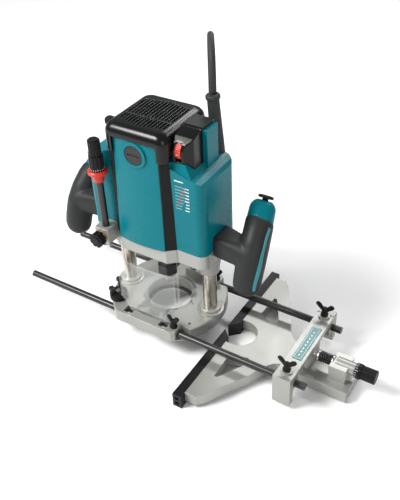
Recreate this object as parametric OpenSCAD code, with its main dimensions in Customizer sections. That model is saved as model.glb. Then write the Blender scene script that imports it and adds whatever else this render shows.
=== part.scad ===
// Plunge router with twin column base, clear chip guard and a guide fence on two rods.
// Origin: centre of the opening in the sole, on the sole's face.
// +Z up the columns, +X along the rods towards the fence, -Y is the operator's side.

/* [Base] */
// Radius of the round base
base_r = 85; // [80:1:95]
// Distance from the spindle to the flat front edge
base_flat = 71; // [68:1:76]
// Height of the base casting's top face
base_h = 20; // [19:0.5:26]
// Thickness of the sole plate
sole_t = 2; // [1:0.5:3]
// Radius of the opening in the sole plate
sole_open_r = 31; // [24:1:33]
// Radius of the opening in the base casting
base_open_r = 36; // [35:1:40]

/* [Columns] */
// Distance from the spindle to each column
column_x = 70; // [68:1:74]
// Radius of the steel columns
column_r = 10; // [8:0.5:11]
// Height of the column tops
column_top = 165; // [150:5:175]
// Plunge travel
plunge = 62; // [40:1:65]

/* [Motor] */
// Height of the casting's sleeve ends when fully raised
sleeve_z = 90.7; // [88:0.1:96]
// Height where the aluminium casting meets the plastic housing
seam_z = 145; // [140:1:150]
// Height of the housing's top, under the cover
housing_z = 298; // [292:1:305]
// Height of the top of the cover
cover_z = 312; // [308:1:320]
// Half width of the motor body across its flat sides
body_x = 47; // [46:0.5:50]
// Half depth of the motor body at its panels
body_y = 50; // [49:0.5:54]
// Half depth of the wings around the columns
wing_y = 40; // [30:1:42]
// Distance from the spindle to the wings' outer sides
wing_x = 90; // [88:1:96]
// Radius of the bore that holds the field
motor_bore_r = 41; // [38:0.5:42]

/* [Spindle] */
// Radius of the collet's bore, for 8 mm cutter shanks
collet_r = 4; // [3:0.5:4.5]
// Height of the collet's mouth
collet_z = 43; // [40:1:50]
// Corner radius of the collet nut
nut_r = 15; // [13:0.5:17]

/* [Handles] */
// Distance from the spindle to the middle of each grip
grip_x = 138; // [134:1:150]
// Half thickness of a grip, sideways
grip_t = 17; // [15:0.5:18]

/* [Fence] */
// Radius of the guide rods
rod_r = 5; // [4:0.5:5.5]
// Distance from the spindle axis to each guide rod
rod_y = 58.5; // [56:0.5:60]
// Height of the guide rods' axes
rod_z = 10; // [9:0.5:11]
// Left end of the guide rods
rod_left = -217.5; // [-240:0.5:-200]
// Right end of the guide rods
rod_right = 246.5; // [244:0.5:260]
// Distance from the spindle to the fence's working face
fence_x = 96; // [90:1:110]
// Half length of the fence
fence_y = 142; // [130:1:160]
// Height of the fence's bottom edge, below the sole
fence_bottom = -28; // [-36:1:-27]
// Height of the fence's top edge, below the sole
fence_top = -5.5; // [-6.5:0.5:-4.5]
// Inner side of the rod holder
holder_x = 207; // [205:1:212]
// Width of the rod holder along the rods
holder_w = 25; // [22:1:28]

/* [Depth stop] */
// Depth rod's distance left of the spindle
stop_x = 57.5; // [56:0.5:62]
// Depth rod's distance in front of the spindle
stop_y = 53.5; // [53:0.5:56]
// Radius of the depth rod
stop_r = 5; // [4.5:0.25:5.5]

/* [Cord] */
// Radius of the cord
cord_r = 4; // [3:0.5:4.5]

/* [Hidden] */
$fn = 48;

// Clearances: running fits, and gaps between bodies that only pass each other
run = 0.06;
gap = 0.35;

// Base
boss_r = column_r + 5.5;
boss_h = 6.5;
notch_x = 52;
window_x = 30;
window_w = 14;
screw_r = 3;
clamp_x = 45;
column_foot = 5;
guard_left = 46.4;
guard_right = 49;
guard_front = 56.8;
guard_bow = 226;
guard_t = 2.5;
guard_top = 107;
guard_foot = 3;
guard_ring_r = 40;

// Stop turret, with one of its bolts under the depth rod
turret_x = 60.5;
turret_y = 45;
turret_r = 13;
turret_h = 9;
bolt_path = norm([stop_x - turret_x, stop_y - turret_y]);
bolt_turn = atan2(turret_y - stop_y, turret_x - stop_x);
bolt_tops = [28, 20, 14];

// Motor
flange_z = seam_z - 21;
strip_x = 36;
strip_y = wing_y + 1;
pod_x = 40;
block_x = 76.5;
block_front = -3;
block_back = 22;
shoulder_z = 274;
column_bore = column_r + 1;
bore_top = column_top + plunge + 6;
bearing_z = flange_z + 2;
bearing_h = 13;
top_bearing_z = housing_z - 9;
taper = 0.93;
panel_top = housing_z - 2;
panel_bulge = 5;
panel_lean = 2.65;
panel_edge = 33;
trim_top = housing_z - 22;
brush_z = 278;
cap_face = 50.5;
lug_top = 157;
lug_bottom = 134;
lug_front = stop_y + 10;
dial_at = [50, -23.5, 288];
dial_r = 11.5;
dial_w = 8;

// Grips: points along the grip, [x from its middle, y, z, radius]
grip_path = [[2, -20, 112, 15.5], [2, -16, 124, 17], [2, -8, 142, 18.5], [0.5, 3, 158, 18.5],
             [-2, 16, 172, 17.5], [-5, 28, 182, 15.5], [-7, 37, 190, 13.5]];
cap_at = [26, 180.5];
cap_lean = 50;
button_lean = 35;
button_travel = 2.5;

// Fence
face_t = 13;
screw_z = 11;
feed_r = 4;
slider_y = 28;
tower_x = 265;
tower_end = 291;
holder_end = holder_x + holder_w;

// Cord: leaves the guard upwards, bends over behind it and falls to the coil
guard_at = [60.5, 40];
guard_top_z = 335;
coil_at = [-107, 205];
coil_r = 44;
coil_layers = 4;
drape = [[0, 335], [0, 346], [0, 358], [4.6, 375], [17, 387], [34, 392], [51, 387], [63, 375],
         [68, 358], [71, 330], [76, 295], [82, 255], [90, 210], [100, 165], [112, 120],
         [126, 84], [143, 54], [162, 30], [182, 13], [203, 3], [218, 0], [230, 0]];
plug_x = -160;
plug_y = coil_at[1] + coil_r + cord_r;
plug_z = fence_bottom + 15;
tail = [[coil_at[0], plug_y, -24], [-113, plug_y, -24], [-124.75, plug_y, -22.3],
        [-136.5, plug_y, -18.5], [-148.25, plug_y, -14.7], [plug_x, plug_y, plug_z]];

// ---------------------------------------------------------------- helpers

// A point of the cord's fall, s along the line behind the guard
function behind(s) = [guard_at[0] - 0.554 * s, guard_at[1] + 0.832 * s];
cord_points = [for (p = drape) [behind(p[0])[0], behind(p[0])[1], p[1]]];

function unit(v) = v / norm(v);
function heading(p, i) = unit(p[min(i + 1, len(p) - 1)] - p[max(i - 1, 0)]);
function side(d) = unit(cross(d, abs(d[2]) > 0.9 ? [0.832, 0.554, 0] : [0, 0, 1]));
function ring(c, d, r, n) = let (a = side(d), b = cross(d, a))
    [for (k = [0:n - 1]) c + r * (cos(360 * k / n) * a + sin(360 * k / n) * b)];

// A round tube swept along a list of points
module tube(p, r, n = 8) {
    m = len(p);
    rings = [for (i = [0:m - 1]) each ring(p[i], heading(p, i), r, n)];
    sides = [for (i = [0:m - 2], k = [0:n - 1]) let (j = (k + 1) % n)
        each [[i * n + k, (i + 1) * n + k, (i + 1) * n + j],
              [i * n + k, (i + 1) * n + j, i * n + j]]];
    first = [for (k = [0:n - 1]) k];
    last = [for (k = [n - 1:-1:0]) (m - 1) * n + k];
    polyhedron(points = rings, faces = concat(sides, [first], [last]), convexity = 6);
}

// A coil spring standing on z = 0
module spring(r, wire, h, turns, steps = 10) {
    count = turns * steps;
    tube([for (i = [0:count]) [r * cos(360 * i / steps), r * sin(360 * i / steps),
        wire + (h - 2 * wire) * i / count]], wire, 6);
}

// A flat shape with round corners
module rounded(w, d, r) {
    square([w - 2 * r, d], center = true);
    square([w, d - 2 * r], center = true);
    for (x = [-1, 1], y = [-1, 1])
        translate([x * (w / 2 - r), y * (d / 2 - r)]) circle(r = r);
}

// A screw with two thumb wings, its seat at z = 0 and its wings along x
module wing_screw(shank_r, shank_h, reach) {
    translate([0, 0, -shank_h]) cylinder(r = shank_r, h = shank_h + 1);
    translate([0, 0, gap]) cylinder(r = 5.4, h = 4);
    translate([0, 0, 4]) cylinder(r = 4.4, h = 9);
    for (s = [-1, 1]) {
        translate([s * reach / 2, 0, 12]) rotate([0, s * 28, 0])
            cube([reach, 4, 7], center = true);
        translate([s * reach, 0, 17]) rotate([90, 0, 0])
            cylinder(r = 5, h = 3.6, center = true);
    }
}

// A knob with flutes, from z = 0 up
module fluted(r, h, count, flute) {
    difference() {
        cylinder(r = r, h = h);
        for (i = [0:count - 1]) rotate(360 * i / count)
            translate([r + flute * 0.4, 0, -1]) cylinder(r = flute, h = h + 2, $fn = 16);
    }
}

// ---------------------------------------------------------------- base

module base_plan(r, flat) {
    intersection() {
        circle(r = r, $fn = 120);
        translate([-2 * r, -flat]) square(4 * r);
    }
}

module base_casting() {
    color([0.68, 0.69, 0.67]) difference() {
        union() {
            intersection() {
                rotate_extrude($fn = 120) polygon([[0, sole_t], [base_r, sole_t],
                    [base_r, base_h - 1.5], [base_r - 1.5, base_h], [0, base_h]]);
                translate([-100, -base_flat, 0]) cube([200, 200, 60]);
            }
            for (s = [-1, 1]) translate([s * column_x, 0, 0]) rotate_extrude()
                polygon([[0, base_h - 1], [boss_r + 3.5, base_h - 1], [boss_r + 3.5, base_h + 2],
                    [boss_r, base_h + 2.6], [boss_r, base_h + boss_h - 1],
                    [boss_r - 1, base_h + boss_h], [0, base_h + boss_h]]);
            translate([-2, 46, base_h - 1]) cube([34, 14, 13]);
        }
        translate([0, 0, -1]) cylinder(r = base_open_r, h = base_h + 40);
        for (s = [-1, 1]) translate([s * column_x, 0, column_foot])
            cylinder(r = column_r, h = 60);
        for (s = [-1, 1]) {
            translate([-120, s * rod_y, rod_z]) rotate([0, 90, 0])
                cylinder(r = rod_r + run, h = 240);
            translate([clamp_x, s * rod_y, rod_z]) cylinder(r = screw_r, h = 60);
            for (x = [-window_x, window_x])
                translate([x, s * (rod_y + 1.5), base_h])
                    cube([window_w, 13, 2 * (base_h - sole_t - 1.5)], center = true);
            translate([notch_x, s > 0 ? rod_y - 7.5 : -rod_y - 30, sole_t + 2])
                cube([60, 37.5, 60]);
        }
        translate([-turret_x, -turret_y, base_h - 8]) cylinder(r = 2.5, h = 30);
        translate([60.7, -42, base_h - 10]) cylinder(r = 2, h = 30);
        translate([43, -5, base_h - 8]) cylinder(r = 1.2, h = 30);
        sole_holes(1.6, 12);
    }
}

// The sole's fixing screws stand on this pattern
module sole_holes(r, h) {
    for (a = [35, 145, 215, 325]) rotate(a)
        translate([(sole_open_r + base_r) / 2, 0, 0]) cylinder(r = r, h = h);
}

module sole_plate() {
    color([0.2, 0.2, 0.2]) difference() {
        linear_extrude(sole_t) base_plan(base_r - 1.5, base_flat - 1.5);
        translate([0, 0, -1]) cylinder(r = sole_open_r, h = sole_t + 2);
        translate([0, 0, -1]) sole_holes(3.2, sole_t + 2);
    }
}

module sole_screws() {
    color("silver") difference() {
        union() {
            sole_holes(1.6, 11);
            translate([0, 0, 0.3]) sole_holes(3.1, sole_t - 0.3);
        }
        translate([0, 0, -1]) sole_holes(1.2, 2.2);
    }
}

module columns() {
    color([0.72, 0.68, 0.62]) for (s = [-1, 1]) translate([s * column_x, 0, 0]) difference() {
        translate([0, 0, column_foot]) cylinder(r = column_r, h = column_top - column_foot);
        translate([0, 0, 40]) cylinder(r = column_r - 3, h = column_top);
    }
}

// The clear guard bows forwards to let the motor plunge behind it, and its lower
// corners are cut away for the turret and the thumb screw
module chip_guard() {
    color([0.9, 0.95, 0.95, 0.3]) difference() {
        union() {
            intersection() {
                translate([0, guard_bow - guard_front, base_h]) difference() {
                    cylinder(r = guard_bow + guard_t, h = guard_top - base_h, $fn = 240);
                    translate([0, 0, -1]) cylinder(r = guard_bow, h = guard_top, $fn = 240);
                }
                rotate([90, 0, 0]) linear_extrude(100) polygon([[-30, base_h - 1],
                    [30, base_h - 1], [31.5, base_h + 26], [guard_right, base_h + 34],
                    [guard_right, guard_top + 1], [-guard_left, guard_top + 1],
                    [-guard_left, base_h + 16], [-36, base_h + 10]]);
            }
            for (x = [-guard_left, guard_right - guard_t])
                translate([x, -guard_front + 4, base_h + 36])
                    cube([guard_t, 8.5, guard_top - base_h - 36]);
            translate([0, 0, base_h]) cylinder(r = guard_ring_r, h = guard_foot);
            translate([-26, -guard_front - 1, base_h]) cube([52, guard_front - 20, guard_foot]);
        }
        translate([0, 0, base_h - 1]) cylinder(r = sole_open_r + 2, h = guard_foot + 2);
    }
}

module stop_post() {
    color("silver") translate([9, 53, base_h + 12]) difference() {
        union() {
            cylinder(r = 5, h = 18);
            translate([0, 0, 18]) cylinder(r = 6, h = 4);
        }
        translate([0, 0, 16]) cylinder(r = 3, h = 8);
    }
}

module turret_screw() {
    color("silver") translate([-turret_x, -turret_y, 0]) {
        translate([0, 0, base_h - 8]) cylinder(r = 2.5, h = 8 + turret_h + 2 * gap);
        translate([0, 0, base_h + turret_h + 2 * gap]) cylinder(r = 3.6, h = 2.5);
    }
}

module plunge_springs() {
    color([0.4, 0.4, 0.42]) for (s = [-1, 1]) translate([s * column_x, 0, 40])
        spring(5, 0.9, bore_top - 40, 15, 8);
}

// ---------------------------------------------------------------- stop turret

module turret() {
    color([0.1, 0.1, 0.1]) translate([-turret_x, -turret_y, base_h + gap]) difference() {
        cylinder(r = turret_r, h = turret_h);
        translate([0, 0, -1]) cylinder(r = 2.5 + run, h = 30);
        for (i = [0:2]) rotate(bolt_turn + 180 + 120 * i)
            translate([bolt_path, 0, 3]) cylinder(r = 2.5, h = 30);
        for (i = [0:11]) rotate(30 * i)
            translate([turret_r + 0.6, 0, -1]) cylinder(r = 1.2, h = 30, $fn = 16);
    }
}

module turret_bolts() {
    color([0.12, 0.12, 0.12]) translate([-turret_x, -turret_y, base_h + gap])
        for (i = [0:2]) rotate(bolt_turn + 180 + 120 * i) translate([bolt_path, 0, 3]) {
            cylinder(r = 2.5, h = bolt_tops[i] - 3);
            translate([0, 0, turret_h - 3]) cylinder(r = 4.2, h = 2.5, $fn = 6);
            translate([0, 0, bolt_tops[i] - 7]) cylinder(r = 4.4, h = 4, $fn = 6);
        }
}

// ---------------------------------------------------------------- guide rods and fence

module rod_screw(s) {
    color([0.12, 0.12, 0.12]) translate([clamp_x, s * rod_y, base_h])
        wing_screw(screw_r - run, base_h - rod_z - rod_r - gap, 6);
}
module front_rod_screw() { rod_screw(-1); }
module rear_rod_screw() { rod_screw(1); }

module guide_rods() {
    color([0.15, 0.15, 0.15]) for (s = [-1, 1]) translate([rod_left, s * rod_y, rod_z])
        rotate([0, 90, 0]) cylinder(r = rod_r, h = rod_right - rod_left);
}

module guide_holder() {
    w = holder_w;
    color([0.7, 0.71, 0.69]) difference() {
        union() {
            translate([holder_x, -70, rod_z + 8]) cube([w, 140, 7]);
            for (s = [-1, 1]) {
                translate([holder_x, s * 69 - 5, -21]) cube([w, 10, 47]);
                translate([holder_x, s * rod_y - 9, rod_z - 9]) cube([w, 18, 18]);
                translate([holder_x + w / 2, s * rod_y, rod_z]) cylinder(r = 8, h = 18);
            }
            translate([holder_x, -18, -3]) cube([w, 36, 24]);
        }
        for (s = [-1, 1]) {
            translate([holder_x - 5, s * rod_y, rod_z]) rotate([0, 90, 0])
                cylinder(r = rod_r + run, h = w + 10);
            translate([holder_x + w / 2, s * rod_y, rod_z]) cylinder(r = screw_r, h = 60);
        }
        translate([holder_x - 5, 0, screw_z]) rotate([0, 90, 0])
            cylinder(r = feed_r + run, h = w + 10);
    }
}

module holder_badge() {
    color([0.1, 0.45, 0.48]) translate([holder_x + holder_w / 2 - 5, -33, rod_z + 15])
        cube([13, 66, 0.8]);
}

module holder_screw(s) {
    color([0.12, 0.12, 0.12]) translate([holder_x + holder_w / 2, s * rod_y, rod_z + 18])
        wing_screw(screw_r - run, 18 - rod_r - gap, 10);
}
module front_holder_screw() { holder_screw(-1); }
module rear_holder_screw() { holder_screw(1); }

// Half of the fence casting's outline, from the face plate to the slider
half_outline = [[fence_x + face_t, 0], [fence_x + face_t, 132], [125, 132], [134, 122],
                [168, 64], [178, 40], [187, slider_y + 1], [196, slider_y - 3], [196, 0]];
half_window = [[126, 49], [127.5, 88], [132, 88], [154, 50], [155, 40], [151, 37]];

module both_sides() {
    children();
    mirror([0, 1, 0]) children();
}

module fence_casting() {
    top = fence_top - 0.5;
    color([0.66, 0.67, 0.65]) difference() {
        union() {
            translate([0, 0, fence_bottom + 5]) linear_extrude(top - fence_bottom - 5)
                both_sides() polygon(half_outline);
            translate([190, -slider_y, fence_bottom + 3])
                cube([tower_end - 190, 2 * slider_y, 17]);
            translate([tower_x - 6, -15, -12]) cube([24, 30, 28]);
            translate([tower_x, 0, screw_z]) rotate([0, 90, 0])
                cylinder(r = 9, h = tower_end - tower_x);
        }
        translate([fence_x, -25, fence_bottom]) cube([22, 50, 60]);
        translate([fence_x + 22, 0, fence_bottom]) cylinder(r = 25, h = 40);
        translate([0, 0, fence_bottom]) linear_extrude(40) both_sides() polygon(half_window);
        translate([tower_x - 20, 0, screw_z]) rotate([0, 90, 0])
            cylinder(r = feed_r + run, h = 60);
        for (s = [-1, 1], y = [50, 110])
            translate([fence_x - 5, s * y, (fence_top + fence_bottom) / 2]) rotate([0, 90, 0])
                cylinder(r = 2, h = face_t + 15);
    }
}

module face_plates() {
    color([0.08, 0.08, 0.08]) difference() {
        translate([fence_x, -fence_y, fence_bottom])
            cube([face_t, 2 * fence_y, fence_top - fence_bottom]);
        // the gap in the middle, bevelled towards the cutter
        translate([0, 0, fence_bottom - 1]) linear_extrude(60)
            polygon([[fence_x - 1, -3], [fence_x - 1, 3], [fence_x + face_t + 1, 18],
                [fence_x + face_t + 1, -18]]);
        // the hollow back of the moulding
        for (s = [-1, 1]) translate([fence_x + 3.5, s * (fence_y / 2 + 15) - fence_y / 2,
            fence_bottom + 4]) cube([face_t - 7, fence_y, 5.5]);
        for (s = [-1, 1]) translate([fence_x + 3.5, s * (fence_y / 2 + 15) - fence_y / 2,
            fence_top - 9.5]) cube([face_t - 7, fence_y, 5.5]);
        for (s = [-1, 1], y = [50, 110])
            translate([fence_x - 5, s * y, (fence_top + fence_bottom) / 2]) rotate([0, 90, 0])
                cylinder(r = 2, h = face_t + 15);
        for (s = [-1, 1], y = [50, 110])
            translate([fence_x - 5, s * y, (fence_top + fence_bottom) / 2]) rotate([0, 90, 0])
                cylinder(r = 4, h = 8);
    }
}

module face_screws() {
    color("silver") for (s = [-1, 1], y = [50, 110])
        translate([fence_x + 0.6, s * y, (fence_top + fence_bottom) / 2])
            rotate([0, 90, 0]) difference() {
                union() {
                    cylinder(r = 3.9, h = 2.4);
                    cylinder(r = 2, h = face_t + 8);
                }
                translate([0, 0, -1]) cylinder(r = 1.6, h = 2.4, $fn = 6);
            }
}

module feed_spring() {
    color([0.1, 0.1, 0.1]) translate([holder_end + 6.5, 0, screw_z]) rotate([0, 90, 0])
        spring(6.2, 1.2, tower_x - holder_end - 12.8, 5, 10);
}

module feed_screw() {
    color("silver") translate([holder_x + 3, 0, screw_z]) rotate([0, 90, 0]) {
        cylinder(r = feed_r, h = tower_end + 12 - holder_x - 3);
    }
}

module feed_knob() {
    color([0.1, 0.1, 0.1]) translate([tower_end + 8 + gap, 0, screw_z]) rotate([0, 90, 0])
        difference() {
            fluted(9.5, 20, 16, 1.3);
            translate([0, 0, -1]) cylinder(r = feed_r, h = 5 - gap);
        }
}

module feed_ring() {
    color([0.16, 0.16, 0.16]) translate([tower_end + gap, 0, screw_z]) rotate([0, 90, 0])
        difference() {
            cylinder(r = 10.5, h = 8);
            translate([0, 0, -1]) cylinder(r = feed_r, h = 12);
        }
}

// ---------------------------------------------------------------- motor

module core_plan(shrink = 0) {
    sx = strip_x - shrink * 0.4;
    sy = strip_y - shrink * 0.4;
    polygon([[-sx, -body_y + shrink], [sx, -body_y + shrink], [body_x - shrink, -sy],
        [body_x - shrink, sy], [sx, body_y - shrink], [-sx, body_y - shrink],
        [-body_x + shrink, sy], [-body_x + shrink, -sy]]);
}

module wing_plan(shrink = 0) {
    for (s = [-1, 1]) translate([s * (wing_x + 30) / 2, 0])
        rounded(wing_x - 30 - 2 * shrink, 2 * (wing_y - shrink), 12 - shrink);
}

// The motor body draws in towards its top, front and back
module core(shrink, top = housing_z) {
    full = housing_z - seam_z;
    translate([0, 0, seam_z]) linear_extrude(top - seam_z,
        scale = [1, 1 - (1 - taper) * (top - seam_z) / full]) core_plan(shrink);
}

// The tapered opening that each panel closes
module panel_place(grow = 0) {
    rotate([90, 0, 0]) linear_extrude(body_y + 30) polygon([
        [-strip_x - grow, seam_z], [strip_x + grow, seam_z],
        [panel_edge + grow, panel_top + grow], [-panel_edge - grow, panel_top + grow]]);
}

module column_bores(r, z, h) {
    for (s = [-1, 1]) translate([s * column_x, 0, z]) cylinder(r = r, h = h);
}

module motor_casting() {
    color([0.68, 0.69, 0.67]) difference() {
        union() {
            translate([0, 0, flange_z]) linear_extrude(seam_z - flange_z) {
                core_plan();
                wing_plan();
            }
            for (s = [-1, 1]) translate([s * column_x, 0, 0]) rotate_extrude()
                polygon([[0, sleeve_z], [13.5, sleeve_z], [14.5, sleeve_z + 1],
                    [15, sleeve_z + 10], [18.5, sleeve_z + 26], [19, flange_z + 2],
                    [0, flange_z + 2]]);
            translate([0, 0, 104]) cylinder(r = 25, h = flange_z - 104 + 1);
            // the lug that carries the depth rod
            translate([-stop_x - 11, -lug_front, lug_bottom]) {
                cube([21.5, lug_front - wing_y, lug_top - lug_bottom]);
                cube([21.5, lug_front - wing_y + 3, seam_z - lug_bottom]);
            }
        }
        column_bores(column_r + run, sleeve_z - 1, 80);
        translate([0, 0, 90]) cylinder(r = 14, h = 60);
        translate([0, 0, bearing_z]) cylinder(r = 20, h = 60);
        translate([0, 0, bearing_z + bearing_h]) cylinder(r = motor_bore_r, h = 60);
        translate([-stop_x, -stop_y, lug_bottom - 1]) cylinder(r = stop_r + run, h = 40);
        translate([-stop_x, -stop_y, (lug_top + lug_bottom) / 2]) rotate([90, 0, 0])
            cylinder(r = screw_r, h = 40);
        translate([0, body_y + 1, seam_z - 12]) rotate([90, 0, 0]) cylinder(r = 4 + run, h = 40);
        translate([-60, wing_y - 14, seam_z - 10]) rotate([-90, 0, 0])
            cylinder(r = screw_r, h = 40);
    }
}

// The roof of the wings, which falls away from the motor
module wing_roof() {
    rotate([90, 0, 0]) linear_extrude(2 * wing_y + 2, center = true) for (m = [0, 1])
        mirror([m, 0]) polygon([[30, seam_z], [wing_x + 1, seam_z], [wing_x + 1, 249],
            [wing_x - 4, 253.5], [wing_x - 10, 257], [body_x, 266.5], [30, 271]]);
}

// The roof rises to the speed control's pod
module shoulder() {
    hull() {
        translate([30, 1 - wing_y, 250]) cube([45, wing_y - 1, 8]);
        translate([30, -34, 258]) cube([34, 34, shoulder_z - 258]);
    }
}

module motor_housing() {
    color([0.0, 0.45, 0.5]) difference() {
        union() {
            core(3);
            shoulder();
            intersection() {
                translate([0, 0, seam_z]) linear_extrude(150) wing_plan();
                wing_roof();
            }
            translate([44, block_front, 240])
                cube([block_x - 44, block_back - block_front, cover_z - 4 - 240]);
            translate([guard_at[0] + 7, guard_at[1] - 2, 236]) cylinder(r = 12, h = 11);
        }
        translate([0, 0, seam_z - 1]) cylinder(r = motor_bore_r, h = housing_z - 12 - seam_z + 1);
        translate([0, 0, top_bearing_z]) cylinder(r = 13, h = 40);
        translate([0, 0, 250]) cylinder(r = 9, h = 60);
        column_bores(column_bore, seam_z - 1, bore_top - seam_z + 1);
        for (s = [-1, 1]) translate([0, 0, brush_z]) rotate([s * 90, 0, 0])
            cylinder(r = 9, h = body_y + 9);
        relief_place() {
            translate([0, 0, -20]) cylinder(r = 7.4, h = 22);
            cylinder(r = 9, h = 20);
        }
        // room for the speed control's wheel and board
        translate([pod_x + 3, -30, dial_at[2] - dial_r - 1.5]) cube([20, 40, 60]);
    }
}

// A bulging panel that leans back, with a raised lip round the brush cap
module panel() {
    difference() {
        union() {
            intersection() {
                panel_place();
                translate([0, 112, seam_z]) rotate([-panel_lean, 0, 0]) translate([0, 0, -20])
                    cylinder(r = 112 + body_y + panel_bulge, h = 200, $fn = 200);
            }
            translate([0, 0, brush_z]) rotate([90, 0, 0]) cylinder(r = 17.5, h = cap_face);
        }
        core(3);
        translate([0, 0, brush_z]) rotate([90, 0, 0]) cylinder(r = 13.5, h = body_y + 30);
        translate([-60, -body_y * taper + 8, seam_z - 1]) cube([120, 120, 200]);
    }
}

module front_panel() { color([0.0, 0.48, 0.54]) panel(); }
module rear_panel() { color([0.0, 0.48, 0.54]) mirror([0, 1, 0]) panel(); }

module corner_trims() {
    color([0.17, 0.18, 0.18]) difference() {
        core(0, trim_top);
        core(3);
        for (m = [0, 1]) mirror([0, m, 0]) panel_place();
        translate([-100, -wing_y, seam_z - 1]) cube([200, 2 * wing_y, 200]);
    }
}

module top_cover() {
    slot = 2.6;
    pitch = 5;
    color([0.07, 0.07, 0.07]) difference() {
        union() {
            intersection() {
                translate([0, 0, trim_top]) linear_extrude(60) core_plan(0.5);
                rotate([90, 0, 90]) translate([0, 0, -60]) linear_extrude(120)
                    polygon(concat([[-60, trim_top], [60, trim_top]],
                        [for (a = [0:15:90]) [body_y - 14.5 + 12 * cos(a), cover_z - 12 + 12 * sin(a)]],
                        [for (a = [90:15:180]) [-body_y + 14.5 + 12 * cos(a), cover_z - 12 + 12 * sin(a)]]));
                rotate([90, 0, 0]) translate([0, 0, -60]) linear_extrude(120)
                    polygon(concat([[-60, trim_top], [60, trim_top]],
                        [for (a = [0:15:90]) [33 + 7 * cos(a), cover_z - 7 + 7 * sin(a)]],
                        [for (a = [90:15:180]) [-33 + 7 * cos(a), cover_z - 7 + 7 * sin(a)]]));
            }
            // the two lugs on the left
            for (z = [286, 299.5]) translate([-53.5, -16, z]) rotate([90, 0, 0]) {
                cylinder(r = 5.5, h = 12);
                translate([0, -5.5, 0]) cube([12, 11, 12]);
            }
        }
        // it sits over the housing's top
        core(3);
        for (m = [0, 1]) mirror([0, m, 0]) panel_place(0.3);
        translate([-30, -34, housing_z - 2]) cube([60, 68, 9]);
        for (i = [0:11]) translate([-28.8 + i * pitch, -30, housing_z]) cube([slot, 60, 40]);
        translate([44, block_front, 230]) cube([60, block_back - block_front, 100]);
        translate([body_x - 3.3, -34.3, 230]) cube([60, 35 + block_front, 100]);
        shoulder();
    }
}

module controller_lid() {
    color([0.2, 0.21, 0.21]) translate([44, block_front, cover_z - 4])
        cube([block_x - 44 - 5, block_back - block_front, 4]);
}

module dial_pod() {
    color([0.09, 0.09, 0.09]) difference() {
        intersection() {
            translate([body_x - 3, -34, 250])
                cube([block_x - body_x - 3, 34 + block_front, 62]);
            rotate([90, 0, 90]) linear_extrude(200) polygon([[-34, 250], [0, 250], [0, 310],
                [-8, 310], [-22, 306], [-31, 299], [-34, 290]]);
            linear_extrude(400) polygon([[pod_x, -34], [61, -34], [block_x - 6, -24],
                [block_x - 6, 0], [pod_x, 0]]);
        }
        wing_roof();
        shoulder();
        core(3);
        translate([body_x - 0.5, -26, dial_at[2] - dial_r - 1.5]) cube([19, 40, 25]);
        translate([dial_at[0] - gap, -40, dial_at[2] - dial_r - 0.5])
            cube([dial_w + 2 * gap, 30, 2 * dial_r + 1]);
    }
}

module speed_dial() {
    color([0.8, 0.2, 0.12]) translate(dial_at) rotate([0, 90, 0]) difference() {
        cylinder(r = dial_r, h = dial_w);
        translate([0, 0, -1]) cylinder(r = 2, h = dial_w + 2);
        for (i = [0:23]) rotate(15 * i) translate([dial_r + 0.4, 0, -1])
            cylinder(r = 0.8, h = dial_w + 2, $fn = 16);
    }
}

module brush_caps() {
    color([0.12, 0.12, 0.12]) for (s = [0, 1]) mirror([0, s, 0])
        translate([0, -cap_face + 0.5, brush_z]) rotate([90, 0, 0]) difference() {
            union() {
                translate([0, 0, -4]) cylinder(r = 13, h = 4);
                translate([0, 0, -12]) cylinder(r = 8.8, h = 9);
            }
            translate([-9, -1.2, -1.2]) cube([18, 2.4, 5]);
        }
}

module brushes() {
    color([0.25, 0.25, 0.25]) for (s = [0, 1]) mirror([0, s, 0])
        translate([-4, 13 - cap_face, brush_z - 5]) cube([8, cap_face - 13 - 14.4, 10]);
}

module stator() {
    color([0.4, 0.4, 0.42]) translate([0, 0, 168]) difference() {
        cylinder(r = motor_bore_r, h = 60);
        translate([0, 0, -1]) cylinder(r = 28, h = 62);
    }
}

module field_windings() {
    color([0.72, 0.4, 0.2]) for (z = [161, 228]) translate([0, 0, z]) difference() {
        cylinder(r = 38, h = 7);
        translate([0, 0, -1]) cylinder(r = 28, h = 12);
    }
}

module bearings() {
    color("silver") {
        translate([0, 0, bearing_z]) difference() {
            cylinder(r = 20, h = bearing_h);
            translate([0, 0, -1]) cylinder(r = 8.5 + run, h = 30);
        }
        translate([0, 0, top_bearing_z]) difference() {
            cylinder(r = 13, h = 9);
            translate([0, 0, -1]) cylinder(r = 5 + run, h = 30);
        }
    }
}

// The tapered guard stands on the right wing's roof and leans inwards
module relief_place() {
    translate([guard_at[0] + 7, guard_at[1] - 2, 244])
        rotate([0, -atan2(7, guard_top_z - 244), 0]) children();
}

module strain_relief() {
    color([0.2, 0.2, 0.2]) relief_place() {
        rotate_extrude() polygon([[0, 0], [9, 0], [8.6, 30], [8, 60], [7.6, 84],
            [9.2, 85.5], [9.2, 89], [8, 90.5], [0, 90.5]]);
        translate([0, 0, -14]) cylinder(r = 7.4, h = 16);
    }
}

// ---------------------------------------------------------------- handles

// The bent grip, drawn at the right side
module grip_form() {
    for (i = [0:len(grip_path) - 2]) hull() for (p = [grip_path[i], grip_path[i + 1]])
        translate([grip_x + p[0], p[1], p[2]]) resize([2 * grip_t, 2 * p[3], 2 * p[3]])
            sphere(r = p[3], $fn = 20);
}

module grip_neck() {
    difference() {
        hull() {
            translate([wing_x - 3.5, -18, 138]) cube([1, 32, 27]);
            translate([grip_x - 4, -7, 147]) rotate([0, 90, 0])
                cylinder(r = 17, h = 4, $fn = 20);
        }
        cube([2 * wing_x, 200, 600], center = true);
    }
}

// The flat that parts the cap from the grip, across the grip's lean
module cap_cut(g) {
    translate([grip_x, cap_at[0], cap_at[1]]) rotate([-cap_lean, 0, 0])
        translate([-40, -60, g]) cube([80, 120, 80]);
}

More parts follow.
